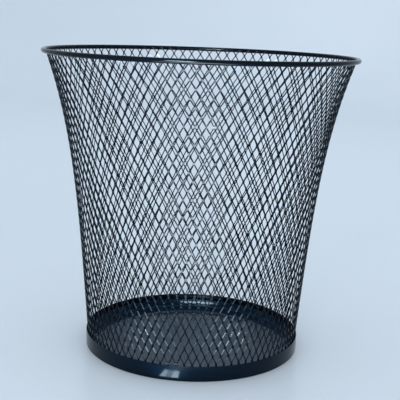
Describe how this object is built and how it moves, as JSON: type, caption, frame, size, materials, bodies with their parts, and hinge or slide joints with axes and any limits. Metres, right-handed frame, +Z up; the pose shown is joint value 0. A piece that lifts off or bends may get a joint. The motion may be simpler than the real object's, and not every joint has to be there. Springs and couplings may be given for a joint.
{
  "type": "wastebasket",
  "caption": "Round black wire-mesh wastebasket: an expanded-steel wall flaring to a wire rim, on a solid pressed base with a low band.",
  "frame": {"origin": "centre of the circle that the basket stands on", "axes": "+Z up along the basket's axis, from the base to the open rim; X and Y are any two directions across it"},
  "size_m": [0.3, 0.3, 0.2884],
  "materials": {
    "wire_paint": "semi-gloss black powder coat on steel wire",
    "mesh_paint": "semi-gloss black powder coat on expanded steel sheet",
    "sheet_paint": "smooth semi-gloss black powder coat on steel sheet"
  },
  "bodies": {
    "root": {"rim_ring": "wire_paint", "mesh_wall": "mesh_paint", "base_band": "sheet_paint", "floor_pan": "sheet_paint"}
  },
  "joints": []
}
